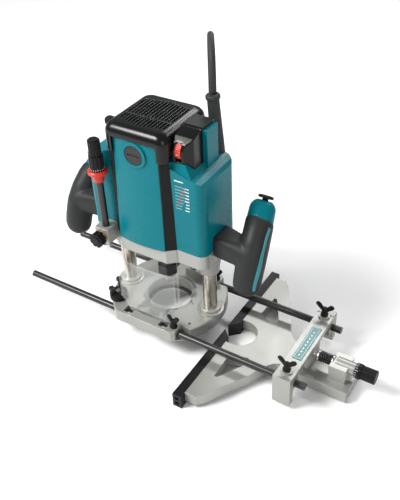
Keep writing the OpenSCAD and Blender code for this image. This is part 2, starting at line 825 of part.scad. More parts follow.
module right_grip() {
    color([0.3, 0.31, 0.31]) difference() {
        union() {
            grip_form();
            grip_neck();
        }
        cap_cut(0);
        trigger_pocket();
    }
}

module left_grip() {
    color([0.3, 0.31, 0.31]) mirror([1, 0, 0]) difference() {
        union() {
            grip_form();
            grip_neck();
        }
        cap_cut(0);
    }
}

// The right cap has a flat seat and a well for the lock-on button
module grip_caps() {
    color([0.0, 0.45, 0.5]) for (m = [0, 1]) mirror([m, 0, 0]) difference() {
        intersection() {
            grip_form();
            cap_cut(0);
        }
        if (m == 0) at_button() {
            translate([-30, -30, 11]) cube(60);
            translate([0, 0, 2]) cylinder(r = 4 + gap, h = 30);
        }
    }
}

module at_button() {
    p = grip_path[len(grip_path) - 1];
    translate([grip_x + p[0], p[1], p[2]]) rotate([-button_lean, 0, 0]) children();
}

module lock_button() {
    color([0.1, 0.1, 0.1]) at_button() {
        translate([0, 0, 2.5 + button_travel]) cylinder(r = 4, h = 10);
        translate([0, 0, 12 + button_travel]) cylinder(r = 10, h = 3);
    }
}

module at_trigger() {
    translate([grip_x - 1, 3, 158]) rotate([-42, 0, 0]) children();
}

module trigger_pocket() {
    at_trigger() translate([-6, 4, -6]) cube([12, 40, 33]);
}

// It turns on the round boss at its upper end
module trigger() {
    color([0.1, 0.1, 0.1]) at_trigger() translate([-6 + gap, 8, 0]) {
        translate([0, 0, -4]) cube([12 - 2 * gap, 17, 28.5]);
        translate([0, 0, 24]) rotate([0, 90, 0]) cylinder(r = 2.5, h = 12 - 2 * gap);
    }
}

module shaft_lock() {
    color([0.1, 0.1, 0.1]) translate([0, 0, seam_z - 12]) rotate([-90, 0, 0]) {
        translate([0, 0, 26]) cylinder(r = 4, h = body_y + 8 - 26);
        translate([0, 0, body_y + 8]) cylinder(r = 7, h = 3);
    }
}

module lock_lever() {
    color([0.1, 0.1, 0.1]) translate([-60, wing_y + gap, seam_z - 10]) rotate([-90, 0, 0]) {
        translate([0, 0, -10]) cylinder(r = screw_r - run, h = 12);
        cylinder(r = 9, h = 9);
        translate([-40, -4.5, 2]) cube([40, 9, 6]);
        translate([-40, 0, 2]) cylinder(r = 6, h = 6);
    }
}

// ---------------------------------------------------------------- depth stop

module depth_rod() {
    color([0.1, 0.1, 0.1]) translate([-stop_x, -stop_y, 129.5]) difference() {
        cylinder(r = stop_r, h = 102.5);
        translate([0, 0, -1]) cylinder(r = 3 + run, h = 120);
    }
}

module depth_collar() {
    color([0.8, 0.2, 0.13]) translate([-stop_x, -stop_y, 0]) difference() {
        rotate_extrude() polygon([[0, 228], [7.2, 228], [7.2, 239], [13, 240], [13, 243],
            [11, 244.5], [0, 244.5]]);
        translate([0, 0, 200]) cylinder(r = stop_r, h = 32);
        translate([0, 0, 200]) cylinder(r = 3 + run, h = 60);
    }
}

module depth_tip() {
    color("silver") translate([-stop_x, -stop_y, 122]) {
        cylinder(r = 3, h = 140);
        cylinder(r = 4.2, h = 3.5);
    }
}

module depth_knob() {
    color([0.08, 0.08, 0.08]) translate([-stop_x, -stop_y, 244.5 + gap]) difference() {
        union() {
            fluted(9.4, 20, 10, 1.6);
            translate([0, 0, 19.5]) fluted(8, 22, 14, 1);
            translate([0, 0, 41]) cylinder(r = 6.4, h = 2);
        }
        translate([0, 0, -1]) cylinder(r = 3 + run, h = 32);
    }
}

module clamp_knob() {
    color([0.1, 0.1, 0.1]) translate([-stop_x, -lug_front - gap, (lug_top + lug_bottom) / 2])
        rotate([90, 0, 0]) {
            translate([0, 0, -(lug_front - stop_y - stop_r - gap)]) cylinder(r = screw_r - run, h = 12);
            cylinder(r = 5, h = 4);
            translate([0, 0, 4]) fluted(10.5, 10, 8, 2);
            translate([0, 0, 13.9]) cylinder(r = 6.5, h = 1.6);
        }
}

// ---------------------------------------------------------------- spindle

module spindle() {
    color("silver") difference() {
        rotate_extrude() polygon([[0, 72], [9.5, 72], [9.5, 110], [13, 112], [13, bearing_z - 1],
            [8.5, bearing_z - 1], [8.5, bearing_z + bearing_h + 4], [7, bearing_z + bearing_h + 4],
            [7, top_bearing_z - 2], [5, top_bearing_z - 2], [5, top_bearing_z + 9],
            [0, top_bearing_z + 9]]);
        translate([0, 0, 40]) cylinder(r = 7, h = 46);
    }
}

module armature() {
    color([0.45, 0.4, 0.36]) difference() {
        union() {
            translate([0, 0, 170]) cylinder(r = 26.8, h = 56);
            translate([0, 0, 163]) cylinder(r = 21, h = 72);
            translate([0, 0, brush_z - 13]) cylinder(r = 14, h = 20);
        }
        translate([0, 0, 100]) cylinder(r = 7, h = 300);
    }
}

module fan() {
    color([0.15, 0.15, 0.15]) translate([0, 0, 145]) difference() {
        union() {
            cylinder(r = 13, h = 12);
            cylinder(r = 37, h = 2);
            for (i = [0:11]) rotate(30 * i) translate([11, -0.8, 0]) cube([25, 1.6, 11]);
        }
        translate([0, 0, -1]) cylinder(r = 7, h = 20);
    }
}

module collet_nut() {
    color([0.08, 0.08, 0.08]) difference() {
        union() {
            translate([0, 0, 62]) cylinder(r = nut_r, h = 17, $fn = 6);
            translate([0, 0, 78]) cylinder(r = 12.5, h = 6);
        }
        translate([0, 0, 50]) cylinder(r = 7, h = 22);
        translate([0, 0, 72]) cylinder(r = 9.5, h = 30);
    }
}

module collet_cone() {
    color("silver") difference() {
        union() {
            translate([0, 0, collet_z]) cylinder(r = collet_r + 1.5, h = 20);
            translate([0, 0, 62]) cylinder(r = 7, h = 22);
        }
        translate([0, 0, collet_z - 1]) cylinder(r = collet_r, h = 60);
    }
}

// ---------------------------------------------------------------- cord

module cord() {
    color([0.12, 0.12, 0.12]) {
        tube(cord_points, cord_r);
        tube(tail, cord_r);
    }
}

module cord_coil() {
    color([0.12, 0.12, 0.12]) translate([coil_at[0], coil_at[1], fence_bottom])
        rotate_extrude() translate([coil_r - 2 * cord_r, 0])
            square([4 * cord_r, 2 * cord_r * coil_layers]);
}

module plug_body() {
    color([0.1, 0.1, 0.1]) translate([plug_x, plug_y, plug_z]) rotate([0, -90, 0])
        rotate_extrude() polygon([[0, 0], [6, 0], [7, 12], [13, 18], [15, 24], [15, 44],
            [14, 46], [0, 46]]);
}

module plug_pins() {
    color([0.75, 0.7, 0.55]) for (s = [-1, 1])
        translate([plug_x - 46, plug_y + s * 9.5, plug_z]) rotate([0, -90, 0]) {
            cylinder(r = 2.4, h = 18);
            translate([0, 0, 18]) sphere(r = 2.4);
        }
}

base_casting();
sole_plate();
sole_screws();
columns();
chip_guard();
stop_post();
turret_screw();
plunge_springs();
cord();
cord_coil();
plug_body();
plug_pins();
turret();
turret_bolts();
front_rod_screw();
rear_rod_screw();
guide_rods();
guide_holder();
holder_badge();
front_holder_screw();
rear_holder_screw();
fence_casting();
face_plates();
face_screws();
feed_spring();
feed_screw();
feed_knob();
feed_ring();
motor_casting();
motor_housing();
front_panel();
rear_panel();
corner_trims();
top_cover();
controller_lid();
dial_pod();
brush_caps();
brushes();
stator();
field_windings();
bearings();
strain_relief();
left_grip();
right_grip();
grip_caps();
speed_dial();
trigger();
lock_button();
shaft_lock();
lock_lever();
depth_rod();
depth_collar();
depth_tip();
depth_knob();
clamp_knob();
spindle();
armature();
fan();
collet_nut();
collet_cone();
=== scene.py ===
from math import cos, pi, radians, sin

import bmesh
import bpy
from mathutils import Matrix, Vector
from mathutils.bvhtree import BVHTree


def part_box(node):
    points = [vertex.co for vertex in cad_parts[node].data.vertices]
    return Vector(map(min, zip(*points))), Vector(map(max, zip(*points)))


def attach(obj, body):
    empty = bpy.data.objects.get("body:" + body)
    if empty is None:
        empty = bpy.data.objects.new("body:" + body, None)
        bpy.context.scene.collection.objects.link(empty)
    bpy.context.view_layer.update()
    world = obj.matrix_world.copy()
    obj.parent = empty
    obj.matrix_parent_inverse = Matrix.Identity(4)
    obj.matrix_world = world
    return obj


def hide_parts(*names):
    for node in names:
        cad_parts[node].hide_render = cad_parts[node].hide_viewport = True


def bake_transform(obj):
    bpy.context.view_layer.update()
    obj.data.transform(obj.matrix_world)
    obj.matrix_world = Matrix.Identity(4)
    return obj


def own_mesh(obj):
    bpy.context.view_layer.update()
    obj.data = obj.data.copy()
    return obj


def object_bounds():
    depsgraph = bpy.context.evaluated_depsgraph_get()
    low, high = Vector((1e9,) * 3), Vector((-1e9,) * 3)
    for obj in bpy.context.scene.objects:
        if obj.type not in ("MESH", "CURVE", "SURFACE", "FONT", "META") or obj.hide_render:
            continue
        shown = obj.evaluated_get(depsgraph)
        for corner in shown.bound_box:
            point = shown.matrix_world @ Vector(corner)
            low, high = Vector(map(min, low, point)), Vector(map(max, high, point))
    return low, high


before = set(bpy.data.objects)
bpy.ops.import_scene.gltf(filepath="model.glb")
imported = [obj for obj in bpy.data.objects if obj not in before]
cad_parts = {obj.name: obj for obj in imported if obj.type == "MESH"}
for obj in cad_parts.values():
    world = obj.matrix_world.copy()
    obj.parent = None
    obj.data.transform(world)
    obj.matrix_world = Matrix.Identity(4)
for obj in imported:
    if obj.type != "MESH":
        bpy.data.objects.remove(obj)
cad_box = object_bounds()
mm = 0.001

# ---------------------------------------------------------------- studio
# A pale matt table top under the tool, lit by a large soft key from the front left, a wide
# fill from the right and a long strip above the back.

camera = bpy.data.objects.new("camera", bpy.data.cameras.new("camera"))
bpy.context.scene.collection.objects.link(camera)
turn, tilt, lean = radians(33.649), radians(90 - 38.242), radians(-2.865)
camera.location = (0.47246, -0.62493, 0.71223)
camera.rotation_euler = (Matrix.Rotation(turn, 3, "Z") @ Matrix.Rotation(tilt, 3, "X")
                         @ Matrix.Rotation(lean, 3, "Z")).to_euler()
camera.data.lens = 50.82
camera.data.sensor_width = 36
camera.data.clip_start = 0.01
bpy.context.scene.camera = camera


def soft_light(name, place, aim, size, power, tint=(1, 1, 1)):
    lamp = bpy.data.lights.new(name, "AREA")
    lamp.shape = "RECTANGLE"
    lamp.size, lamp.size_y = size
    lamp.energy = power
    lamp.color = tint
    light = bpy.data.objects.new(name, lamp)
    light.location = place
    light.rotation_euler = (Vector(aim) - Vector(place)).to_track_quat("-Z", "Y").to_euler()
    bpy.context.scene.collection.objects.link(light)


soft_light("key", (-1.0, -1.1, 1.7), (0, 0, 0.12), (0.8, 0.8), 62, (1, 0.99, 0.97))
soft_light("fill", (1.5, -1.2, 1.0), (0, 0, 0.12), (0.6, 1.2), 9)
soft_light("strip", (0.1, 1.3, 1.4), (0, 0, 0.25), (1.6, 0.25), 18)
bpy.context.scene.view_settings.view_transform = "Standard"

world = bpy.data.worlds.new("studio")
bpy.context.scene.world = world
world.use_nodes = True
world.node_tree.nodes["Background"].inputs["Color"].default_value = (1, 1, 1, 1)
world.node_tree.nodes["Background"].inputs["Strength"].default_value = 0.34


def new_piece(name, mesh, materials, body=None, smooth=True):
    """A finished mesh as an object with its materials, riding on one of the tool's bodies."""
    piece = bpy.data.objects.new(name, mesh)
    bpy.context.scene.collection.objects.link(piece)
    for material in materials:
        mesh.materials.append(material)
    for face in mesh.polygons:
        face.use_smooth = smooth
    if body:
        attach(piece, body)
    return piece


def new_material(name):
    material = bpy.data.materials.new(name)
    material.use_nodes = True
    nodes = material.node_tree.nodes
    return material, nodes, material.node_tree.links, nodes["Principled BSDF"]


def table_paint():
    material, nodes, links, shader = new_material("table_paint")
    place = nodes.new("ShaderNodeTexCoord")
    cloud = nodes.new("ShaderNodeTexNoise")
    cloud.inputs["Scale"].default_value = 2.5
    tone = nodes.new("ShaderNodeMapRange")
    tone.inputs["To Min"].default_value = 0.93
    tone.inputs["To Max"].default_value = 0.96
    links.new(place.outputs["Object"], cloud.inputs["Vector"])
    links.new(cloud.outputs["Fac"], tone.inputs["Value"])
    links.new(tone.outputs["Result"], shader.inputs["Base Color"])
    shader.inputs["Roughness"].default_value = 0.75
    shader.inputs["Specular IOR Level"].default_value = 0.2
    return material


def as_mesh(name, form, outward=False):
    """Turns a finished form into a mesh, with its faces turned outward where asked."""
    if outward:
        bmesh.ops.recalc_face_normals(form, faces=form.faces)
    mesh = bpy.data.meshes.new(name)
    form.to_mesh(mesh)
    form.free()
    return mesh


table_gap = 0.2 * mm
form = bmesh.new()
bmesh.ops.create_grid(form, x_segments=12, y_segments=12, size=6)
bmesh.ops.translate(form, verts=form.verts, vec=(0, 0, cad_box[0][2] - table_gap))
new_piece("floor", as_mesh("floor", form), [table_paint()])

# ---------------------------------------------------------------- mains cord
# Two-core rubber lead, 8 mm thick and about 2.6 m long. It stands up out of its guard, bends
# over behind it, falls to the table and is wound there in a tied coil, with its plug beside it.


def finish(name, colour, rough, metal=0.0, mottle=0.06, grain=900, depth=0.12, edge=0.5,
           edge_wear_and_highlight=None, gloss=0.5):
    """A surface with slow shifts of tone, a fine grain, softened edges and, where an edge colour
    is
    given, that colour along them: rubbed-through wear on most finishes, a painted highlight on
    the gloss black."""
    material, nodes, links, shader = new_material(name)
    place = nodes.new("ShaderNodeTexCoord")
    slow = nodes.new("ShaderNodeTexNoise")
    slow.inputs["Scale"].default_value = 26
    slow.inputs["Detail"].default_value = 4
    fine = nodes.new("ShaderNodeTexNoise")
    fine.inputs["Scale"].default_value = grain
    fine.inputs["Detail"].default_value = 3
    links.new(place.outputs["Object"], slow.inputs["Vector"])
    links.new(place.outputs["Object"], fine.inputs["Vector"])

    tone = nodes.new("ShaderNodeValToRGB")
    tone.color_ramp.elements[0].position = 0.3
    tone.color_ramp.elements[1].position = 0.7
    tone.color_ramp.elements[0].color = [c * (1 - mottle) for c in colour] + [1]
    tone.color_ramp.elements[1].color = [min(c * (1 + mottle), 1) for c in colour] + [1]
    links.new(slow.outputs["Fac"], tone.inputs["Fac"])
    haze = nodes.new("ShaderNodeMapRange")
    haze.inputs["From Min"].default_value = 0.3
    haze.inputs["From Max"].default_value = 0.7
    haze.inputs["To Min"].default_value = rough * 0.86
    haze.inputs["To Max"].default_value = min(rough * 1.16, 1)
    links.new(slow.outputs["Fac"], haze.inputs["Value"])
    links.new(haze.outputs["Result"], shader.inputs["Roughness"])

    round_off = nodes.new("ShaderNodeBevel")
    round_off.samples = 4
    round_off.inputs["Radius"].default_value = edge * mm
    bump = nodes.new("ShaderNodeBump")
    bump.inputs["Strength"].default_value = depth
    bump.inputs["Distance"].default_value = 0.2 * mm
    links.new(round_off.outputs["Normal"], bump.inputs["Normal"])
    links.new(fine.outputs["Fac"], bump.inputs["Height"])
    links.new(bump.outputs["Normal"], shader.inputs["Normal"])

    # Edge colour mask: rubbed-through wear on most finishes, a painted highlight on the gloss
    # black.
    if edge_wear_and_highlight:
        flat = nodes.new("ShaderNodeNewGeometry")
        turned = nodes.new("ShaderNodeVectorMath")
        turned.operation = "DOT_PRODUCT"
        links.new(round_off.outputs["Normal"], turned.inputs[0])
        links.new(flat.outputs["Normal"], turned.inputs[1])
        wear_and_highlight_edges = nodes.new("ShaderNodeMapRange")
        wear_and_highlight_edges.inputs["From Min"].default_value = 0.985
        wear_and_highlight_edges.inputs["From Max"].default_value = 0.86
        links.new(turned.outputs["Value"], wear_and_highlight_edges.inputs["Value"])
        patchy = nodes.new("ShaderNodeMath")
        patchy.operation = "MULTIPLY"
        links.new(wear_and_highlight_edges.outputs["Result"], patchy.inputs[0])
        links.new(fine.outputs["Fac"], patchy.inputs[1])
        mix = nodes.new("ShaderNodeMix")
        mix.data_type = "RGBA"
        mix.inputs["B"].default_value = (*edge_wear_and_highlight, 1)
        links.new(patchy.outputs["Value"], mix.inputs["Factor"])
        links.new(tone.outputs["Color"], mix.inputs["A"])
        links.new(mix.outputs["Result"], shader.inputs["Base Color"])
    else:
        links.new(tone.outputs["Color"], shader.inputs["Base Color"])
    shader.inputs["Metallic"].default_value = metal
    shader.inputs["Specular IOR Level"].default_value = gloss
    return material


def along(points, rounds):
    """A smooth line through given points, with some steps added between each two."""
    fine_line = []
    for i in range(len(points) - 1):
        a, b = points[max(i - 1, 0)], points[i]
        c, d = points[i + 1], points[min(i + 2, len(points) - 1)]
        for k in range(rounds):
            t = k / rounds
            fine_line.append(0.5 * (2 * b + (c - a) * t + (2 * a - 5 * b + 4 * c - d) * t ** 2
                                    + (3 * b - a - 3 * c + d) * t ** 3))
    return fine_line + [points[-1]]


def tube(points, radius, sides=14):
    """A round tube along a line, turned as little as possible from ring to ring."""
    form = bmesh.new()
    rings = []
    out = None
    for i, p in enumerate(points):
        ahead = (points[min(i + 1, len(points) - 1)] - points[max(i - 1, 0)]).normalized()
        if out is None:
            out = ahead.orthogonal().normalized()
        out = (out - ahead * out.dot(ahead)).normalized()
        up = ahead.cross(out)
        rings.append([form.verts.new(p + radius * (cos(a) * out + sin(a) * up))
                      for a in (2 * pi * k / sides for k in range(sides))])
    for low, high in zip(rings, rings[1:]):
        for k in range(sides):
            j = (k + 1) % sides
            form.faces.new((low[k], low[j], high[j], high[k]))
    form.faces.new(rings[0][::-1])
    form.faces.new(rings[-1])
    return as_mesh("tube", form)


cord_radius = 4 * mm
fall = [(0, 335), (0, 346), (0, 358), (4.6, 375), (17, 387), (34, 392), (51, 387), (63, 375),
        (68, 358), (71, 330), (76, 295), (82, 255), (90, 210), (100, 165), (112, 120),
        (126, 84), (143, 54), (162, 30), (182, 13), (203, 3), (218, 0), (230, 0)]
drape = [Vector((60.5 - 0.554 * s, 40 + 0.832 * s, z)) * mm for s, z in fall]

coil_centre = Vector((-107, 205, 0)) * mm
coil_slots = [(48, 0), (40, 0), (40, -8), (48, -8), (48, -16), (40, -16), (40, -24), (48, -24)]
coil_start, coil_turns, coil_steps = radians(33.4), 7 + 56.6 / 360, 24
last_slot = len(coil_slots) - 1
first_move, earlier_each_turn, move_share = 340, 42, 0.11


def coil_point(t):
    """Each turn lies in its own slot and moves into the next one over a short stretch, the
    later turns earlier in their round, so that no two ever share a place."""
    k = min(int(t), last_slot)
    move_at = (first_move - earlier_each_turn * k) / 360
    moved = min(max((t - k - move_at) / move_share + 0.5, 0), 1)
    moved = moved * moved * (3 - 2 * moved)
    r0, z0 = coil_slots[k]
    r1, z1 = coil_slots[min(k + 1, last_slot)]
    r, z = r0 + (r1 - r0) * moved, z0 + (z1 - z0) * moved
    a = coil_start + 2 * pi * t
    return coil_centre + Vector((r * cos(a), r * sin(a), z)) * mm


coil = [coil_point(i / coil_steps) for i in range(1, int(coil_turns * coil_steps) + 1)]
tail = [Vector(p) * mm for p in [(-107, 253, -24), (-113, 253, -24), (-124.75, 253, -22.3),
                                 (-136.5, 253, -18.5), (-148.25, 253, -14.7), (-160, 253, -13)]]
route = along(drape, 4) + coil + along(tail, 3)
rubber_sheath = finish("rubber_sheath", (0.028, 0.029, 0.03), 0.6, grain=1400, depth=0.2,
                       gloss=0.3)
cord = new_piece("mains_cord", tube(route, cord_radius), [rubber_sheath])
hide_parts("cord", "cord_coil")
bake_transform(cord)


def strap():
    """A reusable cable tie round the coil's section, as a flat closed band."""
    form = bmesh.new()
    ring = []
    inner, outer, under, over = 35.4, 52.6, -27.3, 4.6
    corners = [(inner, under), (inner, over), (outer, over), (outer, under)]
    outline = []
    for i, (r, z) in enumerate(corners):
        r2, z2 = corners[(i + 1) % 4]
        outline += [(r + (r2 - r) * k / 4, z + (z2 - z) * k / 4) for k in range(4)]
    angle = radians(300)
    across = Vector((-sin(angle), cos(angle), 0))
    for r, z in outline:
        middle = coil_centre + Vector((r * cos(angle), r * sin(angle), z)) * mm
        ring.append([form.verts.new(middle + across * w * mm) for w in (-4, 4)])
    for i in range(len(ring)):
        a, b = ring[i], ring[(i + 1) % len(ring)]
        form.faces.new((a[0], a[1], b[1], b[0]))
    bmesh.ops.recalc_face_normals(form, faces=form.faces)
    bmesh.ops.solidify(form, geom=form.faces[:], thickness=-0.7 * mm)
    return as_mesh("cord_tie", form)


tie = new_piece("cord_tie", strap(), [finish("tie_nylon", (0.02, 0.02, 0.02), 0.4)], "base")


def paint(material, *nodes):
    """Gives CAD pieces that keep their shape a finish."""
    for name in nodes:
        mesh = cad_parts[name].data
        mesh.materials.clear()
        mesh.materials.append(material)


paint(rubber_sheath, "plug_body", "strain_relief")
paint(finish("plated_pin", (0.75, 0.73, 0.66), 0.25, metal=1, grain=2500, depth=0.05),
      "plug_pins")

# ---------------------------------------------------------------- base and its fittings
# Die-cast aluminium base with a satin, faintly grainy skin, its bright edges rubbed by use.
# A thin phenolic sole is screwed underneath, and two ground steel columns are pressed in.

cast_aluminium = finish("cast_aluminium", (0.36, 0.365, 0.345), 0.4, metal=0.5, mottle=0.06,
                        grain=700, depth=0.16, edge=0.9, edge_wear_and_highlight=(0.6, 0.6, 0.58), gloss=0.3)
paint(cast_aluminium, "base_casting", "motor_casting", "guide_holder", "fence_casting")
paint(finish("phenolic_sole", (0.02, 0.02, 0.018), 0.5, grain=500), "sole_plate")
zinc_plate = finish("zinc_plate", (0.62, 0.62, 0.6), 0.3, metal=1, grain=1800, depth=0.08,
                    edge=0.3)
paint(zinc_plate, "sole_screws", "stop_post", "turret_screw", "face_screws", "depth_tip")


def ground_steel():
    """Hard steel, ground round and round, so that it streaks light along its length."""
    material, nodes, links, shader = new_material("ground_steel")
    place = nodes.new("ShaderNodeTexCoord")
    stretch = nodes.new("ShaderNodeMapping")
    stretch.inputs["Scale"].default_value = (60, 60, 6000)
    rings = nodes.new("ShaderNodeTexNoise")
    rings.inputs["Scale"].default_value = 1
    rings.inputs["Detail"].default_value = 4
    bump = nodes.new("ShaderNodeBump")
    bump.inputs["Strength"].default_value = 0.06
    bump.inputs["Distance"].default_value = 0.05 * mm
    tone = nodes.new("ShaderNodeValToRGB")
    tone.color_ramp.elements[0].color = (0.5, 0.46, 0.4, 1)
    tone.color_ramp.elements[1].color = (0.56, 0.52, 0.46, 1)
    links.new(place.outputs["Object"], stretch.inputs["Vector"])
    links.new(stretch.outputs["Vector"], rings.inputs["Vector"])
    links.new(rings.outputs["Fac"], bump.inputs["Height"])
    links.new(rings.outputs["Fac"], tone.inputs["Fac"])
    links.new(tone.outputs["Color"], shader.inputs["Base Color"])
    links.new(bump.outputs["Normal"], shader.inputs["Normal"])
    shader.inputs["Metallic"].default_value = 1
    shader.inputs["Roughness"].default_value = 0.24
    shader.inputs["Anisotropic"].default_value = 0.5
    return material


paint(ground_steel(), "columns", "spindle", "bearings", "collet_cone")


def coil_line(start, axis, length, radius, wire, turns, close=0.06, turn_steps=20):
    """The line of a compression spring's wire, with its end turns closed up."""
    out = axis.orthogonal().normalized()
    across = axis.cross(out)
    points = []
    count = turns * turn_steps
    for i in range(count + 1):
        t = i / count
        open_turns = min(max((t - 0.1) / 0.8, 0), 1)
        h = wire + (length - 2 * wire) * (close * t + (1 - close) * open_turns)
        a = 2 * pi * turns * t
        points.append(start + axis * h + (out * cos(a) + across * sin(a)) * radius)
    return points


low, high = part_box("plunge_springs")
spring_wire, spring_middle, plunge_travel = 0.9 * mm, 5 * mm, 62 * mm
spring_length = high[2] - low[2]
column_x = high[0] - spring_middle - spring_wire
form = bmesh.new()
for x in (-column_x, column_x):
    wire_line = coil_line(Vector((x, 0, low[2])), Vector((0, 0, 1)), spring_length,
                          spring_middle, spring_wire, 15)
    coil_mesh = tube(wire_line, spring_wire, 8)
    form.from_mesh(coil_mesh)
    bpy.data.meshes.remove(coil_mesh)
drawn_wire = finish("spring_wire", (0.12, 0.12, 0.12), 0.35, metal=1)
plunge_coils = new_piece("plunge_coils", as_mesh("plunge_coils", form), [drawn_wire], "base")
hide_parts("plunge_springs")
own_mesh(plunge_coils)


def clear_polycarbonate():
    """Moulded clear sheet: almost nothing across its faces, whitish and more opaque along its
    edges as a painted highlight.
    """
    material, nodes, links, shader = new_material("clear_polycarbonate")
    place = nodes.new("ShaderNodeTexCoord")
    scuffs = nodes.new("ShaderNodeTexNoise")
    scuffs.inputs["Scale"].default_value = 90
    scuffs.inputs["Detail"].default_value = 6
    haze = nodes.new("ShaderNodeMapRange")
    haze.inputs["To Min"].default_value = 0.03
    haze.inputs["To Max"].default_value = 0.16
    links.new(place.outputs["Object"], scuffs.inputs["Vector"])
    links.new(scuffs.outputs["Fac"], haze.inputs["Value"])
    links.new(haze.outputs["Result"], shader.inputs["Roughness"])
    round_off = nodes.new("ShaderNodeBevel")
    round_off.samples = 6
    round_off.inputs["Radius"].default_value = 0.7 * mm
    flat = nodes.new("ShaderNodeNewGeometry")
    turned = nodes.new("ShaderNodeVectorMath")
    turned.operation = "DOT_PRODUCT"
    links.new(round_off.outputs["Normal"], turned.inputs[0])
    links.new(flat.outputs["Normal"], turned.inputs[1])
    # Alpha rises from 0.08 on the faces to 0.7 along the edges: a painted highlight for the
    # light the edges catch.
    body = nodes.new("ShaderNodeMapRange")
    body.inputs["From Min"].default_value = 1
    body.inputs["From Max"].default_value = 0.8
    body.inputs["To Min"].default_value = 0.08
    body.inputs["To Max"].default_value = 0.7
    links.new(turned.outputs["Value"], body.inputs["Value"])
    links.new(body.outputs["Result"], shader.inputs["Alpha"])
    shader.inputs["Base Color"].default_value = (0.86, 0.9, 0.89, 1)
    shader.inputs["Specular IOR Level"].default_value = 0.6
    return material


paint(clear_polycarbonate(), "chip_guard")

# ---------------------------------------------------------------- stop turret
# Black moulded turret with three steel stop bolts blackened against rust, two of them with
# lock nuts.

black_moulding = finish("black_moulding", (0.01, 0.01, 0.0105), 0.38, grain=800, depth=0.18,
                        edge=0.5, edge_wear_and_highlight=(0.05, 0.05, 0.05), gloss=0.13)
black_oxide = finish("black_oxide", (0.045, 0.045, 0.046), 0.32, metal=0.65, mottle=0.12,
                     grain=1500, depth=0.1, edge=0.4, edge_wear_and_highlight=(0.3, 0.3, 0.3))
paint(black_moulding, "turret")
paint(black_oxide, "turret_bolts", "guide_rods", "depth_rod", "collet_nut")

# ---------------------------------------------------------------- thumb screws
# Four moulded thumb screws on steel studs clamp the rods. Each has a round hub and two ears
# that rise outwards, thick at the hub and rounded at their tips.


def lathe(form, profile, sides=32):
    """Turns an outline of (radius, height) round the z axis."""
    rings = []
    for r, z in profile:
        if r == 0:
            rings.append([form.verts.new((0, 0, z * mm))])
        else:
            rings.append([form.verts.new((r * cos(a) * mm, r * sin(a) * mm, z * mm))
                          for a in (2 * pi * k / sides for k in range(sides))])
    for low, high in zip(rings, rings[1:]):
        for k in range(sides):
            j = (k + 1) % sides
            if len(low) == 1:
                form.faces.new((low[0], high[j], high[k]))
            elif len(high) == 1:
                form.faces.new((low[k], low[j], high[0]))
            else:
                form.faces.new((low[k], low[j], high[j], high[k]))


def loft(form, rings):
    """Skins closed rings of points of the same count and closes both ends."""
    rings = [[form.verts.new(p) for p in ring] for ring in rings]
    count = len(rings[0])
    for low, high in zip(rings, rings[1:]):
        for k in range(count):
            j = (k + 1) % count
            form.faces.new((low[k], low[j], high[j], high[k]))
    form.faces.new(rings[0][::-1])
    form.faces.new(rings[-1])
    return rings


def oval(centre, wide, tall, across, up, count=16, square=2.4):
    """One ring of a loft: a rounded section, square above 2 makes it boxier."""
    ring = []
    for k in range(count):
        a = 2 * pi * k / count
        x = abs(cos(a)) ** (2 / square) * (1 if cos(a) > 0 else -1)
        y = abs(sin(a)) ** (2 / square) * (1 if sin(a) > 0 else -1)
        ring.append(centre + across * (wide * x) + up * (tall * y))
    return ring


ear_height = 22 * mm


def thumb_screw(node, stud, reach):
    """A thumb screw from the foot of its stud to the tips of its ears, reach being their
    length from the hub."""
    low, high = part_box(node)
    form = bmesh.new()
    lathe(form, [(0, stud), (2.9, stud), (2.9, 0.4), (5.4, 0.5), (5.6, 1.2), (5.4, 3.6),
                 (4.4, 4.6), (4.1, 9), (4.0, 12), (3.2, 13.4), (0, 13.8)])
    depth = Vector((0, 1, 0))
    for s in (-1, 1):
        ear = [(1.0, 9.0, 3.4, 2.6), (3.4, 10.6, 3.3, 2.2), (reach * 0.62, 13.2, 3.4, 1.9),
               (reach * 0.9, 16.0, 4.2, 1.8), (reach + 1.4, 18.0, 3.8, 1.6),
               (reach + 3.4, 19.4, 1.8, 1.0)]
        rings = []
        for x, z, tall, thick in ear:
            up = Vector((-s * 0.62, 0, 0.78))
            rings.append(oval(Vector((s * x, 0, z)) * mm, thick * mm, tall * mm, depth, up, 12))
        loft(form, rings if s > 0 else rings[::-1])
    bmesh.ops.recalc_face_normals(form, faces=form.faces)
    place = Vector(((low[0] + high[0]) / 2, (low[1] + high[1]) / 2, high[2] - ear_height))
    bmesh.ops.translate(form, verts=form.verts, vec=place)
    piece = new_piece(node + "_moulding", as_mesh(node, form), [black_moulding])
    smooth = piece.modifiers.new("soft", "SUBSURF")
    smooth.levels = smooth.render_levels = 1
    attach(piece, node)
    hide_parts(node)


for end in ("front", "rear"):
    thumb_screw(end + "_rod_screw", -4.6, 6)
    thumb_screw(end + "_holder_screw", -12.6, 9.5)

# ---------------------------------------------------------------- guide and fence
# The holder and the fence are cast like the base. A plain printed plate lies in the
# holder's recess, and the two moulded fence faces are screwed on from the front.


badge_film = finish("badge_film", (0.02, 0.17, 0.18), 0.3, grain=1600, depth=0.04)
paint(badge_film, "holder_badge")


ink_thick = 0.06 * mm


def printed_lines(name, corner, along, up, lines, material, body, rise=0.08):
    """Printed strokes on a flat face: each is a start, an end and a width, in millimetres
    from one corner of the face."""
    form = bmesh.new()
    out = along.cross(up)
    for (x0, y0), (x1, y1), width in lines:
        a = corner + (along * x0 + up * y0 + out * rise) * mm
        b = corner + (along * x1 + up * y1 + out * rise) * mm
        side = (b - a).normalized().cross(out) * (width / 2 * mm)
        lift = out * ink_thick
        low_ring = [a - side, a + side, b + side, b - side]
        base = [form.verts.new(p - lift) for p in low_ring]
        top = [form.verts.new(p) for p in low_ring]
        form.faces.new(top)
        form.faces.new(base[::-1])
        for i in range(4):
            j = (i + 1) % 4
            form.faces.new((base[i], base[j], top[j], top[i]))
    return new_piece(name, as_mesh(name, form, True), [material], body, smooth=False)


